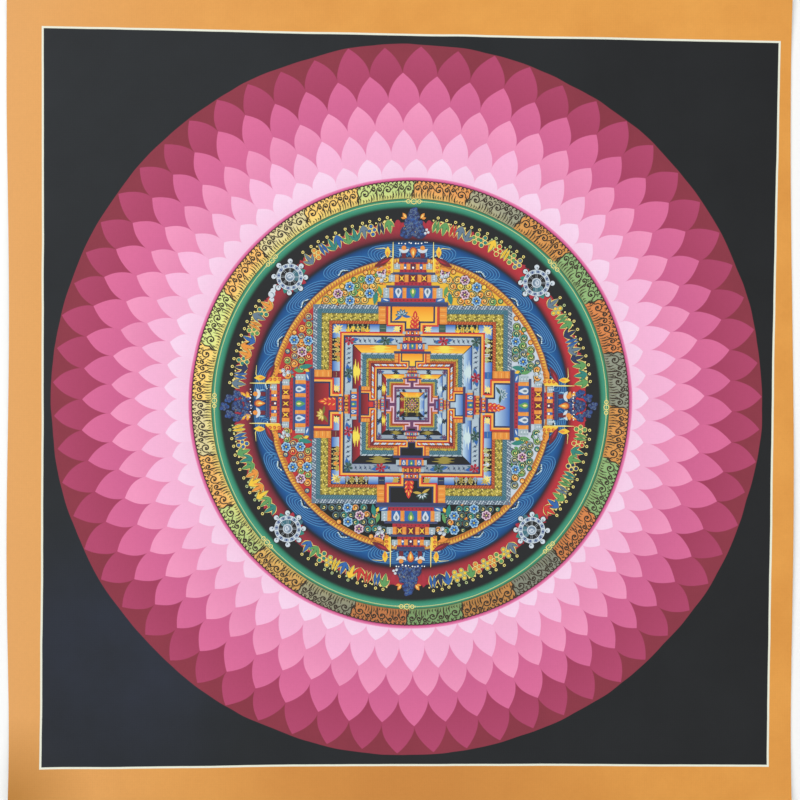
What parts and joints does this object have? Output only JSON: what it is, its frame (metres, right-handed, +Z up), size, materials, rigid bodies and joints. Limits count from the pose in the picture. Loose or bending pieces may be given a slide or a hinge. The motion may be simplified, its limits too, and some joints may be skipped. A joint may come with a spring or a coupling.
{
  "type": "unmounted thangka painting",
  "caption": "Square painted cotton canvas with a round mandala in petal rings, black field and orange border, lying face up with a soft crease and lifted corners.",
  "frame": {"origin": "on the surface that the canvas lies on, under the middle of the sheet", "axes": "+Z up out of the painted face, +X to the right and +Y to the top of the painting"},
  "size_m": [0.4958, 0.5098, 0.0068],
  "materials": {
    "painted_cotton": "matt gouache with fine gold brushwork on chalk-primed cotton"
  },
  "bodies": {
    "root": {"painted_canvas": "painted_cotton"}
  },
  "joints": []
}
